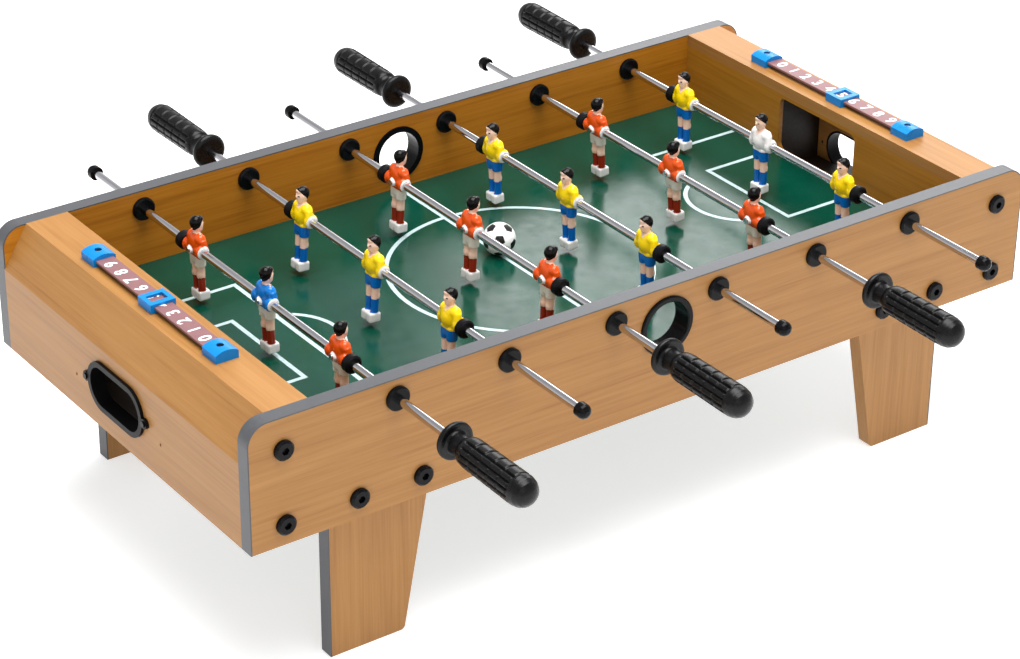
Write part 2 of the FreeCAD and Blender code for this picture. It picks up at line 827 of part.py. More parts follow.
pw = d("pointer_wide") / 2
pl = d("pointer_long") / 2
slack = 0.3
pointer = cut(
    "pointer_master",
    box("pointer_block", -pw, pw, -pl, pl, 0.4, d("pointer_tall")),
    [
        box(
            "pointer_channel",
            -d("rail_wide") / 2 - slack,
            d("rail_wide") / 2 + slack,
            -pl - 1,
            pl + 1,
            d("rail_rise") - slack,
            d("rail_rise") + d("rail_thick") + slack,
        ),
        box(
            "pointer_belly",
            -d("rail_wide") / 2 + 2,
            d("rail_wide") / 2 - 2,
            -pl - 1,
            pl + 1,
            0,
            d("rail_rise"),
        ),
        box(
            "pointer_window",
            -d("rail_wide") / 2 + 0.5,
            d("rail_wide") / 2 - 0.5,
            -pl + 4.5,
            pl - 4.5,
            d("rail_rise"),
            d("pointer_tall") + 1,
        ),
    ],
)
node("score_slider_left", [pointer], -d("score_x"), d("pointer_left_y"), panel_top)
node("score_slider_right", [pointer], d("score_x"), d("pointer_right_y"), panel_top)

# Small screws: one in each rail end cap and one in each ear of the exit bezels
cap_screw = fuse(
    "cap_screw_master",
    [
        rod("cap_screw_shank", "Z", 1.2, d("score_cap_tall") - 2.2 + 7, 0, 0, -7),
        rod("cap_screw_head", "Z", 2.5, 1.4, 0, 0, d("score_cap_tall") - 2.2),
    ],
)
ear_screw = fuse(
    "ear_screw_master",
    [
        rod("ear_screw_shank", "X", 1.2, d("cover_wall") + d("bezel_thick"), -d("cover_wall"), 0, 0),
        rod("ear_screw_head", "X", 2.3, 1.1, d("bezel_thick"), 0, 0),
    ],
)
screws = []
for k, sign in enumerate((-1, 1)):
    for j, side in enumerate((-1, 1)):
        name = "cap_screw_%d%d" % (k, j)
        screws.append(link(name, cap_screw, d("score_x") * sign, cap_mid * side, panel_top))
        name = "ear_screw_%d%d" % (k, j)
        angle = 0 if sign > 0 else 180
        x = half_length * sign
        y = d("ear_y") * side
        screws.append(link(name, ear_screw, x, y, d("exit_z"), V(0, 0, 1), angle))
node("trim_screws", screws)

# ---------------------------------------------------------------- ball
ball = doc.addObject("Part::Sphere", "ball_solid")
bind(ball, "Radius", d("ball_rad"))
node("ball", [ball], 0, d("ball_y"), d("field_top") + d("ball_rad"))

# ---------------------------------------------------------------- one figure, facing +X
sole = -d("foot_drop")
torso = box("man_torso", -4.2, 6.8, -9, 9, -6, 12.5)
torso_soft = doc.addObject("Part::Fillet", "man_torso_soft")
torso_soft.Base = torso
doc.recompute()
torso_soft.Edges = [(i, 3.0, 3.0) for i in range(1, 13)]
figure_parts = [torso_soft, rod("man_neck", "Z", 3, 6, 1.4, 0, 10)]
for k, side in enumerate((-1, 1)):
    figure_parts.append(rod("man_arm_%d" % k, "Z", 2.9, 10, 1.4, 8.6 * side, 0))
    figure_parts.append(rod("man_leg_%d" % k, "Z", 3.2, 30, 1.6, 3.5 * side, sole + 4))
    shoulder = doc.addObject("Part::Sphere", "man_shoulder_%d" % k)
    shoulder.Radius = 2.9
    place(shoulder, 1.4, 8.6 * side, 10)
    figure_parts.append(shoulder)
head = doc.addObject("Part::Sphere", "man_head")
bind(head, "Radius", d("head_rad"))
place(head, 2.2, 0, d("head_top") - d("head_rad"))
figure_parts.append(head)
figure_parts.append(box("man_shorts", -3, 6.1, -7.2, 7.2, -15, 0))
figure_parts.append(box("man_boots", -3.3, 8.2, -7.2, 7.2, sole, sole + 8))
hub = rod("man_hub", "Y", d("hub_rad"), d("man_half") * 2, 0, -d("man_half"), 0)
figure_parts.append(hub)
figure_parts.append(rod("man_boss", "X", 3.2, 6.4, -6.4, 0, 0))
figure_solid = fuse("man_solid", figure_parts)
figure = cut(
    "man_master",
    figure_solid,
    [
        rod("man_bore", "Y", d("rod_rad"), 40, 0, -20, 0),
        rod("man_notch", "X", 2.4, 40, -15, 0, sole),
        rod("man_screw_bore", "X", 1.2, 14, -16, 0, 0),
        rod("man_screw_seat", "X", 2.5, 8, -13.6, 0, 0),
    ],
)
man_screw = fuse(
    "man_screw_master",
    [
        rod("man_screw_shank", "X", 1.2, 6.6 - values["rod_rad"], -6.6, 0, 0),
        rod("man_screw_head", "X", 2.4, 1.6, -7.2, 0, 0),
    ],
)

# ---------------------------------------------------------------- rods, handle towards -Y
near = -d("collar_near")
grip = -d("grip_end")
rod_start = grip + 12
tube_end = d("cap_end") - 2
tube = turned(
    "tube_master",
    [
        (d("rod_bore"), rod_start),
        (d("rod_rad"), rod_start),
        (d("rod_rad"), tube_end),
        (d("rod_bore"), tube_end),
    ],
)
grip_body = turned(
    "grip_master",
    [
        (d("rod_rad"), near),
        (d("rod_rad") + 2.5, near),
        (d("collar_rad") - 2, near - 1.5),
        (d("collar_rad"), near - 3.5),
        (d("collar_rad"), near - 5.5),
        (d("collar_rad") - 1.5, near - 7),
        (d("neck_rad"), near - 9),
        (d("neck_rad"), near - 17),
        (d("grip_rad") - 2, near - 20),
        (d("grip_rad"), near - 24),
        (d("grip_rad"), grip + 9),
        (d("grip_rad") - 1.4, grip + 4.5),
        (d("grip_rad") - 4.5, grip + 1.3),
        (3, grip),
        (0, grip),
        (0, rod_start),
        (d("rod_rad"), rod_start),
    ],
)
handle_screw_bore = rod("handle_screw_bore", "X", 1.5, 12, -15, near - 13, 0)
handle = cut("handle_master", grip_body, [handle_screw_bore])
handle_screw = rod(
    "handle_screw_master",
    "X",
    1.5,
    d("neck_rad") + 0.4 - d("rod_rad"),
    -d("neck_rad") - 0.4,
    near - 13,
    0,
)
end_cap = turned(
    "end_cap_master",
    [
        (0, tube_end),
        (d("rod_rad"), tube_end),
        (d("rod_rad"), d("cap_near")),
        (d("cap_rad"), d("cap_near")),
        (d("cap_rad"), d("cap_end") - 4),
        (d("cap_rad") - 0.7, d("cap_end") - 2.2),
        (d("cap_rad") - 2, d("cap_end") - 0.8),
        (d("cap_rad") - 3.6, d("cap_end")),
        (0, d("cap_end")),
    ],
)
bump_in = d("man_pitch") + d("man_half")
bump_out = bump_in + d("bumper_wide")
bumper = turned(
    "bumper_master",
    [
        (bore, bump_in),
        (d("bumper_rad") - 1.2, bump_in),
        (d("bumper_rad"), bump_in + 1.2),
        (d("bumper_rad"), bump_out - 1.2),
        (d("bumper_rad") - 1.2, bump_out),
        (bore, bump_out),
    ],
)
men = []
men_screws = []
for k in range(3):
    y = d("man_pitch") * (1 - k)
    men.append(link("man_%d" % k, figure, 0, y, 0))
    men_screws.append(link("man_screw_%d" % k, man_screw, 0, y, 0))
bumper_far = link("bumper_far", bumper)
bumper_near = link("bumper_near", bumper, 0, 0, 0, V(0, 0, 1), 180)
for i in range(6):
    spot = (ROD_X[i], ROD_Y[i], d("rod_height"), 0 if i % 2 == 0 else 180)
    turned_spot = spot + (values["rod_lean_%s" % "abcdef"[i]],)
    name = "rod_%d_" % (i + 1)
    node(name + "tube", [tube], *spot)
    node(name + "players", men, *turned_spot)
    node(name + "handle", [handle], *turned_spot)
    node(name + "end_cap", [end_cap], *spot)
    node(name + "bumpers", [bumper_near, bumper_far], *spot)
    node(name + "screws", men_screws + [handle_screw], *turned_spot)

# ---------------------------------------------------------------- check and export
doc.recompute()
bad = []
for thing in doc.Objects:
    if "Invalid" in thing.State or "Error" in thing.State:
        bad.append("%s %s" % (thing.Name, thing.State))
for thing in nodes:
    if thing.Shape.isNull() or not thing.Shape.isValid():
        bad.append("%s has no valid shape" % thing.Label)
    elif any(solid.Volume <= 0 for solid in thing.Shape.Solids) or not thing.Shape.Solids:
        bad.append("%s has an empty solid" % thing.Label)
if bad:
    raise RuntimeError("; ".join(bad))
os.makedirs("parts", exist_ok=True)
for thing in nodes:
    thing.Shape.exportStep("parts/%s.step" % thing.Label)
    bounds = thing.Shape.BoundBox
    print(
        "%-22s solids %2d  volume %10.1f  x %.1f..%.1f  y %.1f..%.1f  z %.1f..%.1f"
        % (
            thing.Label,
            len(thing.Shape.Solids),
            thing.Shape.Volume,
            bounds.XMin,
            bounds.XMax,
            bounds.YMin,
            bounds.YMax,
            bounds.ZMin,
            bounds.ZMax,
        )
    )
print("%d nodes" % len(nodes))
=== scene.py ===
import bpy
import bmesh
import math
from mathutils import Matrix, Vector


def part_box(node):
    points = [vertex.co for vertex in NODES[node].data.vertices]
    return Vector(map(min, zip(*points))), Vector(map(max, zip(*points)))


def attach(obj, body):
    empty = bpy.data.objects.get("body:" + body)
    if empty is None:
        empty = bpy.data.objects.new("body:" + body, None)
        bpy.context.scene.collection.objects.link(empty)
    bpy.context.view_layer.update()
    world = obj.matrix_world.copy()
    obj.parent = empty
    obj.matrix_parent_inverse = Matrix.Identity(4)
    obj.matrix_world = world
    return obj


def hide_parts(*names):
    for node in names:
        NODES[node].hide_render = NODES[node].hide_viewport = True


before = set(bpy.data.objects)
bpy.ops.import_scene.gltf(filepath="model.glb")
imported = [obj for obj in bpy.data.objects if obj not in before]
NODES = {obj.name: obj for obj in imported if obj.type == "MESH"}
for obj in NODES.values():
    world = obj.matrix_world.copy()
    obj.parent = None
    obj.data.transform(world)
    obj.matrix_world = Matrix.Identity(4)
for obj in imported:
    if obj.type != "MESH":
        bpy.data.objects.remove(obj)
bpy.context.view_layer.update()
MM = 0.001
scene = bpy.context.scene
col = scene.collection


# ------------------------------------------------------------------ node helpers
def new_material(name):
    """A new material with its node tree and its surface shader."""
    m = bpy.data.materials.new(name)
    m.use_nodes = True
    return m, m.node_tree, m.node_tree.nodes["Principled BSDF"]


def N(nt, kind, inputs=None, **props):
    """A shader node: inputs maps a socket name or number to a value or to (node, output)."""
    n = nt.nodes.new("ShaderNode" + kind)
    for k, v in props.items():
        setattr(n, k, v)
    for k, v in (inputs or {}).items():
        if isinstance(v, tuple) and len(v) == 2 and hasattr(v[0], "outputs"):
            nt.links.new(v[0].outputs[v[1]], n.inputs[k])
        else:
            n.inputs[k].default_value = v
    return n


def ramp(nt, fac, stops):
    """A colour ramp with the given (place, colour) stops."""
    r = N(nt, "ValToRGB", {0: fac})
    e = r.color_ramp.elements
    while len(e) < len(stops):
        e.new(0.5)
    for item, (at, c) in zip(e, stops):
        item.position = at
        item.color = (*c, 1.0)
    return r


def srgb(r, g, b):
    """Display colour 0..255 to linear."""
    return tuple(
        (v / 255 / 12.92) if v / 255 <= 0.04045 else ((v / 255 + 0.055) / 1.055) ** 2.4
        for v in (r, g, b)
    )


def set_in(b, **kw):
    """Sets shader inputs by name, with _ for a space."""
    for k, v in kw.items():
        b.inputs[k.replace("_", " ")].default_value = v


def stretched(nt, grain, along, across):
    """Object coordinates squeezed so that a noise runs in streaks along one axis."""
    tc = N(nt, "TexCoord")
    scale = [across, across, across]
    scale["XYZ".index(grain)] = along
    return N(nt, "Mapping", {0: (tc, "Object"), "Scale": tuple(scale)})


def wood(name, grain, light, mid, dark, rough=0.4, seed=0.0, shade_tones=None, inner_shade_y=0.0):
    """Oak-print laminate. An optional second, darker set of three tones is used where |y| is below the given
    limit: painted shade on the inner faces.
    """
    m, nt, b = new_material(name)
    mp = stretched(nt, grain, 3.2, 42)
    mp.inputs["Location"].default_value = (seed, seed * 1.7, seed * 2.3)
    broad = N(nt, "TexNoise", {0: (mp, 0), "Scale": 1.0, "Detail": 5.0, "Distortion": 1.4})
    mp2 = stretched(nt, grain, 26, 1100)
    fine = N(nt, "TexNoise", {0: (mp2, 0), "Scale": 1.0, "Detail": 6.0, "Roughness": 0.65})
    mp3 = stretched(nt, grain, 7, 330)
    pores = N(nt, "TexNoise", {0: (mp3, 0), "Scale": 1.0, "Detail": 3.0, "Distortion": 0.4})
    mix1 = N(nt, "Mix", {0: 0.5, 2: (broad, 0), 3: (fine, 0)}, data_type="FLOAT")
    mix2 = N(nt, "Mix", {0: 0.34, 2: (mix1, 0), 3: (pores, 0)}, data_type="FLOAT")
    mp4 = stretched(nt, grain, 2.6, 120)
    mp4.inputs["Location"].default_value = (seed * 3.1, seed, seed * 0.7)
    vein = N(nt, "TexNoise", {0: (mp4, 0), "Scale": 1.0, "Detail": 2.0, "Distortion": 2.2})
    lines = N(nt, "MapRange", {0: (vein, 0), 1: 0.60, 2: 0.72, 3: 0.0, 4: 0.085})
    tone = N(nt, "Math", {0: (mix2, 0), 1: (lines, 0)}, operation="SUBTRACT")
    c = ramp(nt, (tone, 0), [(0.34, dark), (0.49, mid), (0.62, light)])
    colour = (c, 0)
    # the second set of tones paints shade onto the faces inside the walls
    if shade_tones:
        c2 = ramp(nt, (tone, 0), [(0.34, shade_tones[2]), (0.49, shade_tones[1]), (0.62, shade_tones[0])])
        place = N(nt, "SeparateXYZ", {0: (N(nt, "TexCoord"), "Object")})
        away = N(nt, "Math", {0: (place, 1)}, operation="ABSOLUTE")
        painted_shade_inside = N(nt, "Math", {0: (away, 0), 1: inner_shade_y}, operation="LESS_THAN")
        both = N(nt, "Mix", {0: (painted_shade_inside, 0), 6: colour, 7: (c2, 0)}, data_type="RGBA")
        colour = (both, 2)
    nt.links.new(colour[0].outputs[colour[1]], b.inputs["Base Color"])
    r = N(nt, "MapRange", {0: (fine, 0), 1: 0.3, 2: 0.7, 3: rough - 0.06, 4: rough + 0.08})
    nt.links.new(r.outputs[0], b.inputs["Roughness"])
    bump = N(nt, "Bump", {"Strength": 0.12, "Distance": 0.0003, "Height": (tone, 0)})
    nt.links.new(bump.outputs[0], b.inputs["Normal"])
    set_in(b, Specular_IOR_Level=0.3)
    return m


def plastic(name, colour, rough=0.3, coat=0.0, vary=0.12, scale=260.0, bump=0.05, dist=0.0002,
            shine=0.4):
    """Moulded plastic or paint: faint mottling of colour and gloss, and a fine surface."""
    m, nt, b = new_material(name)
    tc = N(nt, "TexCoord")
    n = N(nt, "TexNoise", {0: (tc, "Object"), "Scale": scale, "Detail": 5.0})
    lo = tuple(v * (1 - vary) for v in colour)
    hi = tuple(min(1.0, v * (1 + vary)) for v in colour)
    c = ramp(nt, (n, 0), [(0.3, lo), (0.7, hi)])
    nt.links.new(c.outputs[0], b.inputs["Base Color"])
    r = N(nt, "MapRange", {0: (n, 0), 1: 0.3, 2: 0.7, 3: max(0.02, rough - 0.05), 4: rough + 0.05})
    nt.links.new(r.outputs[0], b.inputs["Roughness"])
    bp = N(nt, "Bump", {"Strength": bump, "Distance": dist, "Height": (n, 0)})
    nt.links.new(bp.outputs[0], b.inputs["Normal"])
    set_in(b, Coat_Weight=coat, Coat_Roughness=0.15, Specular_IOR_Level=shine)
    return m


def metal(name, colour, rough, grain="Y", streak=0.06):
    """Bright metal, drawn along one axis."""
    m, nt, b = new_material(name)
    mp = stretched(nt, grain, 20, 2500)
    n = N(nt, "TexNoise", {0: (mp, 0), "Scale": 1.0, "Detail": 4.0})
    r = N(nt, "MapRange", {0: (n, 0), 1: 0.3, 2: 0.7, 3: max(0.02, rough - streak), 4: rough + streak})
    nt.links.new(r.outputs[0], b.inputs["Roughness"])
    c = ramp(nt, (n, 0), [(0.3, tuple(v * 0.94 for v in colour)), (0.7, colour)])
    nt.links.new(c.outputs[0], b.inputs["Base Color"])
    set_in(b, Metallic=1.0)
    return m


OAK = (srgb(163, 117, 64), srgb(154, 108, 55), srgb(140, 94, 44))
# darker, more saturated oak for the side panels' inner faces: painted shade, the same laminate as outside
OAK_INNER_SHADE = (srgb(181, 118, 34), srgb(169, 106, 22), srgb(144, 85, 12))
# darker oak for the goal boards, which face the field inside the ends: painted shade
OAK_GOAL_SHADE = (srgb(168, 114, 36), srgb(157, 104, 28), srgb(139, 88, 19))
# the limit in y inside which the painted-shade oak is used
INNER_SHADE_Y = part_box("side_panel_back")[0][1] + 0.0006
M = {
    "oak_x": wood("oak_long", "X", *OAK, shade_tones=OAK_INNER_SHADE, inner_shade_y=INNER_SHADE_Y),
    "oak_y": wood("oak_cross", "Y", *OAK, seed=3.1),
    "oak_z": wood("oak_upright", "Z", *OAK, seed=5.7),
    # the goal boards' oak is painted shade, a darker copy of the same laminate
    "oak_goal_shade": wood("oak_shaded", "Y", *OAK_GOAL_SHADE, seed=8.3),
    "band": plastic("grey_edge_band", (0.074, 0.076, 0.082), 0.34, vary=0.05, shine=0.25, bump=0.01),
    "field": plastic("green_field", (0.001, 0.044, 0.026), 0.2, vary=0.06, scale=90, bump=0.02, shine=0.32),
    "line": plastic("field_line_white", (0.42, 0.53, 0.54), 0.3, vary=0.03, shine=0.3),
    # near-black brown board for the goal trays and corner blocks: painted shade for the dark inside of the
    # goal chambers and under the top
    "dark": wood("dark_board_painted_shade", "Y", srgb(46, 36, 28), srgb(36, 28, 22), srgb(24, 19, 15), 0.5),
    "black": plastic("black_moulding", (0.003, 0.003, 0.0035), 0.22, shine=0.1),
    "bezel": plastic("black_satin", (0.003, 0.003, 0.0035), 0.38, shine=0.08),
    "grip": plastic("black_grip", (0.003, 0.003, 0.0035), 0.3, scale=900, bump=0.06, shine=0.2),
    "rubber": plastic("black_rubber", (0.004, 0.004, 0.005), 0.4, scale=900, bump=0.1, shine=0.1),
    "bolt": plastic("black_steel", (0.003, 0.003, 0.004), 0.24, shine=0.12),
    "steel": metal("zinc_steel", srgb(205, 205, 208), 0.24, streak=0.05),
    "chrome": metal("chrome_rod", srgb(208, 208, 212), 0.11, streak=0.03),
    "mauve": plastic("mauve_rail", srgb(125, 88, 90), 0.42, vary=0.05, shine=0.3),
    "blue": plastic("blue_moulding", (0.001, 0.19, 0.55), 0.3, vary=0.03, scale=120, bump=0.0, shine=0.25),
    "digit": plastic("digit_white", srgb(245, 245, 245), 0.4, vary=0.02),
}
LOOK = {
    "side_panel_front": "oak_x", "side_panel_back": "oak_x", "edge_bands": "band",
    "end_cover_left": "oak_y", "end_cover_right": "oak_y", "goal_board_left": "oak_goal_shade",
    "goal_board_right": "oak_goal_shade", "goal_trays": "dark", "exit_bezels": "bezel",
    "playfield": "field", "legs_front": "oak_z", "legs_back": "oak_z", "corner_blocks": "dark",
    "panel_bolts": "bolt", "barrel_nuts": "steel", "leg_nuts": "steel", "rod_bushings": "black",
    "serve_rings": "black", "scorer_rails": "mauve", "scorer_end_caps": "blue",
    "score_slider_left": "blue", "score_slider_right": "blue", "trim_screws": "bolt",
}
for i in range(1, 7):
    LOOK["rod_%d_tube" % i] = "chrome"
    LOOK["rod_%d_end_cap" % i] = "black"
    LOOK["rod_%d_bumpers" % i] = "rubber"
    LOOK["rod_%d_handle" % i] = "grip"
    LOOK["rod_%d_screws" % i] = "steel"
for node, look in LOOK.items():
    for s in NODES[node].material_slots:
        s.material = M[look]
BEVEL = {
    "side_panel_front": 0.5, "side_panel_back": 0.5, "end_cover_left": 0.8,
    "end_cover_right": 0.8, "goal_board_left": 0.4, "goal_board_right": 0.4,
    "legs_front": 0.5, "legs_back": 0.5, "scorer_end_caps": 0.7, "score_slider_left": 0.5,
    "score_slider_right": 0.5, "scorer_rails": 0.25, "exit_bezels": 0.6,
}
for node, size in BEVEL.items():
    mod = NODES[node].modifiers.new("soft_edges", "BEVEL")
    mod.width = size * MM
    mod.segments = 3
    mod.limit_method = "ANGLE"
    mod.angle_limit = math.radians(35)
    mod.harden_normals = False


# ------------------------------------------------------------------ mesh helpers
def add_object(name, mesh, materials=()):
    """A scene object round a mesh."""
    for m in materials:
        mesh.materials.append(m)
    o = bpy.data.objects.new(name, mesh)
    col.objects.link(o)
    return o


def from_bm(name, bm, materials=(), smooth=True):
    """A scene object from bm, which is freed."""
    mesh = bpy.data.meshes.new(name)
    bm.normal_update()
    bm.to_mesh(mesh)
    bm.free()
    if smooth:
        mesh.shade_smooth()
    return add_object(name, mesh, materials)


def arc(cx, cy, r, a0, a1, n):
    """n + 1 points along an arc from angle a0 to a1."""
    step = (a1 - a0) / n
    return [(cx + r * math.cos(a0 + step * i), cy + r * math.sin(a0 + step * i)) for i in range(n + 1)]


def strip(bm, pts, width, z, closed=False, thick=0.0001):
    """A flat band of constant width along a polyline, with mitred corners."""
    n = len(pts)
    rows = []
    for i, p in enumerate(pts):
        p = Vector(p)
        a = Vector(pts[i - 1]) if (i or closed) else None
        c = Vector(pts[(i + 1) % n]) if (i < n - 1 or closed) else None
        d0 = (p - a).normalized() if a is not None else (c - p).normalized()
        d1 = (c - p).normalized() if c is not None else d0
        n0 = Vector((-d0.y, d0.x))
        n1 = Vector((-d1.y, d1.x))
        nn = (n0 + n1).normalized()
        k = width / 2 / max(0.3, nn.dot(n1))
        rows.append([bm.verts.new((*(p + nn * k * s), z + dz)) for s in (-1, 1) for dz in (0, thick)])
    last = n if closed else n - 1
    for i in range(last):
        a, b = rows[i], rows[(i + 1) % n]
        bm.faces.new((a[1], b[1], b[3], a[3]))
        bm.faces.new((a[0], b[0], b[1], a[1]))
        bm.faces.new((a[3], b[3], b[2], a[2]))


# ------------------------------------------------------------------ field lines
lo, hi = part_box("playfield")
LINE_Z = hi[2] + 0.02 * MM
OVER_Z = LINE_Z + 0.01 * MM
GOAL_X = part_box("goal_board_right")[0][0]
WALL_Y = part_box("side_panel_back")[0][1]
WALL_GAP = 0.2 * MM
LINE_WIDE = 3.5 * MM
CIRCLE_RADIUS = 101 * MM
BIG_X = {-1: 192 * MM, 1: 199 * MM}
BIG_HALF = 97.5 * MM
SMALL_X = 222.5 * MM
SMALL_HALF = 50 * MM
ARC_RADIUS = 43.5 * MM
ARC_INSET = 16 * MM
bm = bmesh.new()
strip(bm, [(0, WALL_GAP - WALL_Y), (0, WALL_Y - WALL_GAP)], LINE_WIDE, LINE_Z)
strip(bm, arc(0, 0, CIRCLE_RADIUS, 0, 2 * math.pi, 96)[:-1], LINE_WIDE, OVER_Z, closed=True)
for s in (-1, 1):
    for x, half in ((BIG_X[s], BIG_HALF), (SMALL_X, SMALL_HALF)):
        box = [(s * GOAL_X, half), (s * x, half), (s * x, -half), (s * GOAL_X, -half)]
        strip(bm, box, LINE_WIDE, LINE_Z)
    middle = math.pi if s > 0 else 0
    spread = math.acos(ARC_INSET / ARC_RADIUS)
    bow = arc(s * (BIG_X[s] + ARC_INSET), 0, ARC_RADIUS, middle - spread, middle + spread, 32)
    strip(bm, bow, LINE_WIDE, OVER_Z)
lines = from_bm("field_lines", bm, [M["line"]], smooth=False)
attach(lines, "frame")

# ------------------------------------------------------------------ digits on the score rails
RAIL_WIDE = 14 * MM
DIGIT_SIZE = 13.6 * MM
DIGIT_PITCH = 14.6 * MM
DIGIT_FIRST = 4.5 * DIGIT_PITCH
DIGIT_LIFT = 0.1 * MM
DIGIT_FATTER = 0.2 * MM
DIGIT_THICK = 0.03 * MM
for s, label in ((-1, "left"), (1, "right")):
    lo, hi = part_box("scorer_rails")
    ztop = hi[2] + DIGIT_LIFT
    xr = s * (hi[0] - RAIL_WIDE / 2)
    for k in range(10):
        cu = bpy.data.curves.new("digit_%s_%d" % (label, k), "FONT")
        cu.body = str(k)
        cu.size = DIGIT_SIZE
        cu.align_x = "CENTER"
        cu.align_y = "CENTER"
        cu.offset = DIGIT_FATTER
        cu.extrude = DIGIT_THICK
        cu.materials.append(M["digit"])
        o = bpy.data.objects.new("digit_%s_%d" % (label, k), cu)
        col.objects.link(o)
        y = s * (DIGIT_FIRST - DIGIT_PITCH * k)
        o.matrix_world = Matrix.Translation((xr, y, ztop)) @ Matrix.Rotation(
            math.radians(-90 * s), 4, "Z"
        )
        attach(o, "frame")

# ------------------------------------------------------------------ solids for the figures (mm)
def blob(bm, at, radii, turn=0.0):
    """An ellipsoid, tipped about Y by turn degrees."""
    place = Matrix.Translation(Vector(at) * MM) @ Matrix.Rotation(math.radians(turn), 4, "Y")
    shape = Matrix.Diagonal((radii[0] * MM, radii[1] * MM, radii[2] * MM, 1))
    bmesh.ops.create_icosphere(bm, subdivisions=4, radius=1.0, matrix=place @ shape)


def limb(bm, start, end, r_start, r_end):
    """A closed cone or rod from start to end."""
    p, q = Vector(start) * MM, Vector(end) * MM
    turn = (q - p).to_track_quat("Z", "Y").to_matrix().to_4x4()
    bmesh.ops.create_cone(
        bm, cap_ends=True, segments=40, radius1=r_start * MM, radius2=r_end * MM,
        depth=(q - p).length, matrix=Matrix.Translation((p + q) / 2) @ turn,
    )


def block(bm, low, high, soft):
    """A box with rounded edges."""
    p, q = Vector(low) * MM, Vector(high) * MM
    size = q - p
    made = bmesh.ops.create_cube(
        bm, size=1.0, matrix=Matrix.Translation((p + q) / 2) @ Matrix.Diagonal((*size, 1))
    )
    edges = list({e for v in made["verts"] for e in v.link_edges})
    bmesh.ops.bevel(bm, geom=edges, offset=soft * MM, segments=3, affect="EDGES", profile=0.5)


def cast(name, bm, voxel, smoothings):
    """One closed skin round everything in bm, as a new mesh."""
    rough = bpy.data.meshes.new(name + "_raw")
    bm.to_mesh(rough)
    bm.free()
    o = bpy.data.objects.new(name + "_raw", rough)
    col.objects.link(o)
    mod = o.modifiers.new("skin", "REMESH")
    mod.mode = "VOXEL"
    mod.voxel_size = voxel * MM
    seen = o.evaluated_get(bpy.context.evaluated_depsgraph_get())
    mesh = bpy.data.meshes.new_from_object(seen)
    mesh.name = name
    bpy.data.objects.remove(o)
    bpy.data.meshes.remove(rough)
    work = bmesh.new()
    work.from_mesh(mesh)
    for _ in range(smoothings):
        bmesh.ops.smooth_vert(work, verts=list(work.verts), factor=0.5, use_axis_x=True,
                              use_axis_y=True, use_axis_z=True)
    work.to_mesh(mesh)
    work.free()
    mesh.shade_smooth()
    return mesh


# ------------------------------------------------------------------ figures
# Each is moulded in one piece and painted in zones; the rod runs along Y through the origin and
# the face looks along +X.
JERSEY, SHORTS, SKIN, SOCKS, WHITE, HAIR = range(6)
# how far the body, the boots and the head stand in front of the rod's axis
BODY_X, BOOT_X, HEAD_X = 1.4, 2.3, 2.3


def figure_mesh():
    """One figure with its hub and the boss of its screw."""
    bm = bmesh.new()
    blob(bm, (BODY_X - 0.3, 0, 3.6), (5.9, 9.4, 9.6))
    blob(bm, (BODY_X + 0.9, 0, 2.4), (5.4, 7.4, 7.8))
    for side in (-1, 1):
        leg = 3.4 * side
        blob(bm, (BODY_X - 0.2, 5.6 * side, 8.0), (4.4, 4.3, 4.7))
        limb(bm, (BODY_X - 0.2, 7.2 * side, 8.2), (BODY_X + 0.6, 9.3 * side, 1.4), 3.5, 3.1)
        blob(bm, (BODY_X + 0.6, 9.1 * side, 1.6), (3.5, 2.6, 3.4))
        limb(bm, (BODY_X, leg, -4), (BODY_X, leg * 1.03, -14), 4.4, 4.1)
        limb(bm, (BODY_X + 0.1, leg, -13), (BOOT_X - 0.6, leg, -35), 3.2, 2.8)
        blob(bm, (BODY_X - 0.3, leg, -21), (3.2, 3.25, 5.0))
        block(bm, (BOOT_X - 4.8, leg - 3.1, -42), (BOOT_X + 4.8, leg + 3.1, -34.4), 1.2)
        blob(bm, (HEAD_X, 4.4 * side, 18.6), (1.2, 0.8, 1.7))
    block(bm, (BOOT_X - 4.6, -2.5, -39.2), (BOOT_X + 4.6, 2.5, -34.5), 0.8)
    block(bm, (BODY_X - 4.2, -6.5, -12.5), (BODY_X + 4.2, 6.5, -2), 2.4)
    limb(bm, (BODY_X - 0.4, 0, 9), (HEAD_X - 0.4, 0, 16), 3.2, 2.6)
    blob(bm, (HEAD_X, 0, 18.6), (4.7, 4.4, 6.2))
    blob(bm, (HEAD_X + 1.5, 0, 15.2), (3.0, 2.9, 2.8))
    blob(bm, (HEAD_X + 4.7, 0, 18.2), (1.0, 0.8, 1.4))
    blob(bm, (HEAD_X - 0.9, 0, 20.2), (4.9, 4.7, 5.2))
    blob(bm, (HEAD_X + 2.3, 0, 22.4), (2.6, 3.4, 2.3))
    limb(bm, (0, -11.8, 0), (0, 11.8, 0), 4.7, 4.7)
    for side in (-1, 1):
        limb(bm, (0, 11.8 * side, 0), (0, 9.0 * side, 0), 4.7, 6.0)
    limb(bm, (-3, 0, 0), (-6.3, 0, 0), 3.1, 2.8)
    return cast("figure", bm, 0.5, 2)


def figure_zone(x, y, z):
    """Which paint covers the skin at a point, in mm from the rod axis."""
    if z < -34.3:
        return WHITE
    if z < -23.0:
        return SOCKS
    if z < -14.0:
        return SKIN
    if x * x + z * z < 6.3 ** 2 and abs(y) > 10.3 + 0.04 * (x * x + z * z):
        return WHITE
    if x < -4.2 and y * y + z * z < 3.7 ** 2:
        return WHITE
    if z < -5.4:
        return SHORTS
    front = x - HEAD_X
    if front > 2.6 and abs(z - 18.8) < 0.45 and abs(abs(y) - 1.8) < 0.65:
        return HAIR
    if z > 12.6 or (front > -0.5 and z > 8.6 and abs(y) < (z - 8.2) * 0.9):
        return HAIR if z - 18.8 > 1.05 * front else SKIN
    return JERSEY


def paint(name, colour, rough=0.17, shine=0.45):
    """Glossy paint from a display colour."""
    return plastic(name, srgb(*colour), rough, vary=0.04, scale=420, bump=0.03, shine=shine)


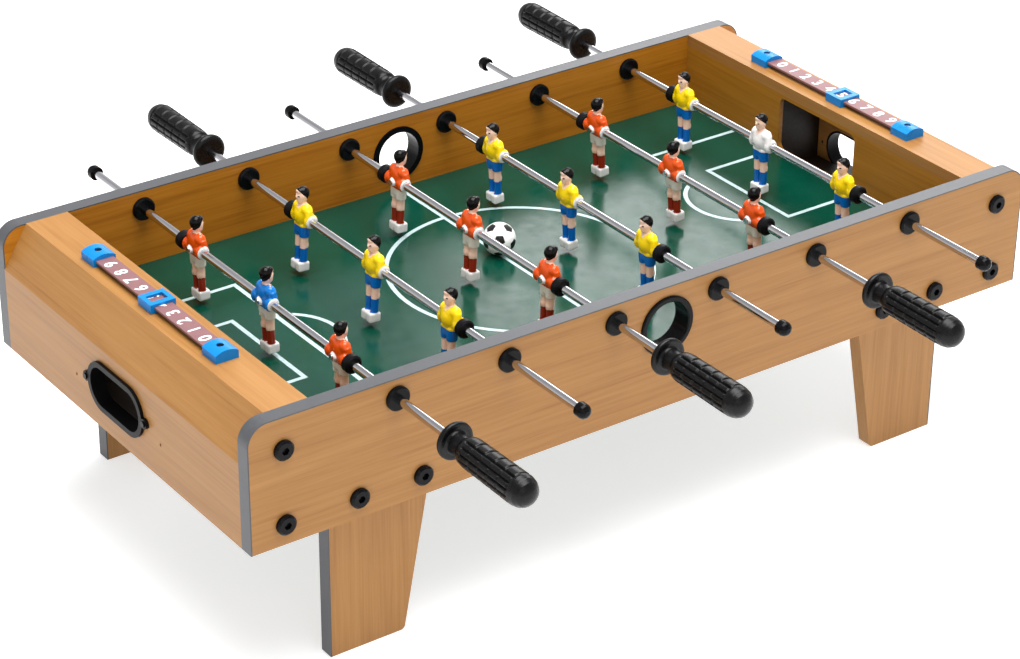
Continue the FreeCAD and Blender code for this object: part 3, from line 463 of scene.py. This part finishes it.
P = {
    "red": paint("paint_red", (212, 76, 8)),
    "yellow": paint("paint_yellow", (248, 212, 6)),
    "blue": paint("paint_blue", (0, 114, 197)),
    "white": paint("paint_white", (236, 234, 232)),
    "cream": paint("paint_cream", (232, 225, 212)),
    "navy": paint("paint_navy", (0, 102, 190)),
    "rust": paint("paint_rust", (150, 38, 8)),
    "skin": paint("paint_skin", (255, 212, 188)),
    "hair": paint("paint_black", (10, 8, 8), 0.16, shine=0.16),
}
KITS = {
    "red": ("red", "cream", "skin", "rust", "white", "hair"),
    "red_keeper": ("blue", "cream", "skin", "rust", "white", "hair"),
    "yellow": ("yellow", "navy", "skin", "navy", "white", "hair"),
    "yellow_keeper": ("white", "navy", "skin", "navy", "white", "hair"),
}
PITCH = 97.2 * MM
ROD_Z = sum(c[2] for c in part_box("rod_1_tube")) / 2
base = figure_mesh()
for f in base.polygons:
    f.material_index = figure_zone(*(f.center / MM))
MEN = {}
for kit, names in KITS.items():
    MEN[kit] = base.copy()
    MEN[kit].name = "figure_" + kit
    for n in names:
        MEN[kit].materials.append(P[n])
bpy.data.meshes.remove(base)


# degrees that each rod is turned at rest, and where a rod's end cap ends from its middle, in mm
REST_LEAN = [-0.4, -3.5, 3, 3, -3.8, 2]
CAP_END = 256.0


def rod_frame(i):
    """Rod i's own frame at rest: handle towards -Y, figures facing +X, turned by its lean."""
    lo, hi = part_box("rod_%d_tube" % i)
    cap_lo, cap_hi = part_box("rod_%d_end_cap" % i)
    turned = cap_lo[1] + cap_hi[1] < 0
    shift = cap_lo[1] + CAP_END * MM if turned else cap_hi[1] - CAP_END * MM
    spot = Matrix.Translation(((lo[0] + hi[0]) / 2, shift, ROD_Z))
    half_turn = Matrix.Rotation(math.pi if turned else 0.0, 4, "Z")
    return spot @ half_turn @ Matrix.Rotation(math.radians(REST_LEAN[i - 1]), 4, "Y")


for i in range(1, 7):
    team = "red" if i % 2 else "yellow"
    for k in range(3):
        kit = team + ("_keeper" if i in (1, 6) and k == 1 else "")
        man = bpy.data.objects.new("figure_%d_%d" % (i, k), MEN[kit])
        col.objects.link(man)
        man.matrix_world = rod_frame(i) @ Matrix.Translation((0, PITCH * (1 - k), 0))
        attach(man, "rod_%d" % i)
        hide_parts("rod_%d_players" % i)

# ------------------------------------------------------------------ handles
# (place along the handle, radius) from the collar to the tip, in mm
GRIP_PROFILE = [
    (0, 3.4), (0, 6), (0.25, 10.2), (1, 12.2), (2.4, 13.5), (3.6, 13.8), (5, 13.6), (5.8, 13), (5.6, 11),
    (5.2, 9), (5.8, 8), (8, 7.7), (15, 7.6), (17.3, 8), (18.3, 9.4), (19.4, 10.3), (22, 10.8),
    (25, 11), (74, 11.5), (78, 11.4), (82, 10.6), (85.4, 8.7), (87.6, 6), (88.7, 3), (89, 0.02),
]
GRIP_FROM, GRIP_TO, CUT_PITCH = 21.5, 77.5, 10.9
# degrees round the handle of the long ribs, on either side, and mm to the collar from the rod's middle
RIBS = (51, 76, 101, 126)
COLLAR_NEAR = 233.0


def ease(t):
    t = min(1.0, max(0.0, t))
    return t * t * (3 - 2 * t)


def grip_relief(u, turn):
    """How far the surface sinks, in mm, at u along the handle and turn degrees round it."""
    a = abs((turn - 15 + 180) % 360 - 180)
    edge = max([34 - a, a - 144] + [9.5 - abs(a - rib) for rib in RIBS])
    groove = 1 - ease(edge / 5 + 0.4)
    near = abs((u - GRIP_FROM + CUT_PITCH / 2) % CUT_PITCH - CUT_PITCH / 2)
    broad = a < 36 or a > 142
    cut = (1.0 if broad else 0.8) * (1 - ease((near - 0.35) / 0.7))
    ends = ease((u - GRIP_FROM) / 2.5) * ease((GRIP_TO - u) / 3.0)
    return ends * max(1.9 * groove, cut)


def handle_mesh():
    """A turned handle with the grip's ribs and cuts, as one closed skin."""
    rows = []
    for (u0, r0), (u1, r1) in zip(GRIP_PROFILE, GRIP_PROFILE[1:]):
        steps = max(1, round((u1 - u0) / 0.45)) if u0 >= 20 else 1
        rows += [(u0 + (u1 - u0) * k / steps, r0 + (r1 - r0) * k / steps) for k in range(steps)]
    rows.append(GRIP_PROFILE[-1])
    around = 180
    bm = bmesh.new()
    rings = []
    for u, r in rows:
        ring = []
        for k in range(around):
            turn = 360 / around * k
            rad = r - (grip_relief(u, turn) if GRIP_FROM < u < GRIP_TO else 0)
            t = math.radians(turn)
            spot = Vector((rad * math.sin(t), -COLLAR_NEAR - u, rad * math.cos(t)))
            ring.append(bm.verts.new(spot * MM))
        rings.append(ring)
    for a, b in zip(rings, rings[1:]):
        for k in range(around):
            n = (k + 1) % around
            bm.faces.new((a[k], a[n], b[n], b[k]))
    bm.faces.new(rings[-1])
    bmesh.ops.recalc_face_normals(bm, faces=list(bm.faces))
    mesh = bpy.data.meshes.new("handle")
    bm.to_mesh(mesh)
    bm.free()
    mesh.shade_smooth()
    mesh.materials.append(M["grip"])
    return mesh


grip = handle_mesh()
for i in range(1, 7):
    o = bpy.data.objects.new("handle_%d" % i, grip)
    col.objects.link(o)
    o.matrix_world = rod_frame(i)
    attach(o, "rod_%d" % i)
    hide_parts("rod_%d_handle" % i)

# ------------------------------------------------------------------ ball
lo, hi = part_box("ball")
centre = (Vector(lo) + Vector(hi)) / 2
rad = (hi[0] - lo[0]) / 2
bm = bmesh.new()
bmesh.ops.create_icosphere(bm, subdivisions=1, radius=1.0)
bm.edges.ensure_lookup_table()
edge = (bm.edges[0].verts[0].co - bm.edges[0].verts[1].co).length
bmesh.ops.bevel(bm, geom=list(bm.verts), offset=edge / 3, offset_type="OFFSET", segments=1,
                affect="VERTICES")
for f in bm.faces:
    f.material_index = 1 if len(f.verts) == 5 else 0
bmesh.ops.poke(bm, faces=list(bm.faces))
for _ in range(3):
    bmesh.ops.subdivide_edges(bm, edges=list(bm.edges), cuts=1, use_grid_fill=True)
for v in bm.verts:
    v.co = v.co.normalized() * rad
bmesh.ops.triangulate(bm, faces=list(bm.faces))
roll = Matrix.Rotation(0.5, 3, "X") @ Matrix.Rotation(0.35, 3, "Y")
bmesh.ops.rotate(bm, verts=list(bm.verts), matrix=roll)
bmesh.ops.translate(bm, verts=list(bm.verts), vec=centre)
M["ball_w"] = plastic("ball_white", srgb(240, 240, 240), 0.3, vary=0.03)
M["ball_b"] = plastic("ball_black", srgb(20, 20, 22), 0.3)
ball = from_bm("soccer_ball", bm, [M["ball_w"], M["ball_b"]])
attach(ball, "loose_ball")
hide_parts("ball")

# ------------------------------------------------------------------ floor, light, camera
bm = bmesh.new()
vs = [bm.verts.new((x, y, -0.0003)) for x, y in ((-9, -9), (9, -9), (9, 9), (-9, 9))]
bm.faces.new(vs)
M["floor"] = plastic("studio_floor", (0.66, 0.66, 0.66), 0.8, vary=0.01, scale=4, bump=0.0)
glow = M["floor"].node_tree.nodes["Principled BSDF"]
set_in(glow, Emission_Color=(1.0, 1.0, 1.0, 1.0), Emission_Strength=0.62)
floor = from_bm("studio_floor", bm, [M["floor"]], smooth=False)

world = scene.world or bpy.data.worlds.new("studio")
scene.world = world
world.use_nodes = True
wt = world.node_tree
bg = wt.nodes["Background"]
up_down = N(wt, "SeparateXYZ", {0: (N(wt, "TexCoord"), "Generated")})
sky = ramp(wt, (up_down, 2), [(0.0, (1.0, 1.0, 1.0)), (0.3, (0.88, 0.88, 0.88)), (0.75, (0.42, 0.42, 0.43))])
wt.links.new(sky.outputs[0], bg.inputs[0])
bg.inputs[1].default_value = 0.88
scene.view_settings.view_transform = "Standard"


def area(name, loc, target, size, power):
    """A soft rectangular light at loc, aimed at target."""
    d = bpy.data.lights.new(name, "AREA")
    d.shape = "RECTANGLE"
    d.size, d.size_y = size
    d.energy = power
    o = bpy.data.objects.new(name, d)
    col.objects.link(o)
    o.location = loc
    o.rotation_euler = (Vector(target) - Vector(loc)).to_track_quat("-Z", "Y").to_euler()
    return o


area("key", (0.1, -0.1, 2.3), (0, 0, 0.15), (2.2, 1.8), 112)
area("front_fill", (-1.2, -2.0, 1.4), (0, 0, 0.15), (1.6, 1.2), 5)
area("back_glow", (1.9, 1.6, 1.3), (0.3, 0, 0.2), (1.4, 0.9), 16)

az, el, roll = math.radians(-35.679), math.radians(28.764), math.radians(0.478)
back = Vector((math.sin(az) * math.cos(el), -math.cos(az) * math.cos(el), math.sin(el)))
right = Vector((math.cos(az), math.sin(az), 0))
up = back.cross(right)
across = right * math.cos(roll) + up * math.sin(roll)
upward = -right * math.sin(roll) + up * math.cos(roll)
cam_data = bpy.data.cameras.new("camera")
cam_data.sensor_fit = "HORIZONTAL"
cam_data.sensor_width = 36.0
cam_data.lens = 104.879
cam_data.dof.use_dof = False
cam = bpy.data.objects.new("camera", cam_data)
col.objects.link(cam)
m = Matrix((across, upward, back)).transposed().to_4x4()
m.translation = Vector((-1.167049, -1.613309, 1.1901))
cam.matrix_world = m
scene.camera = cam
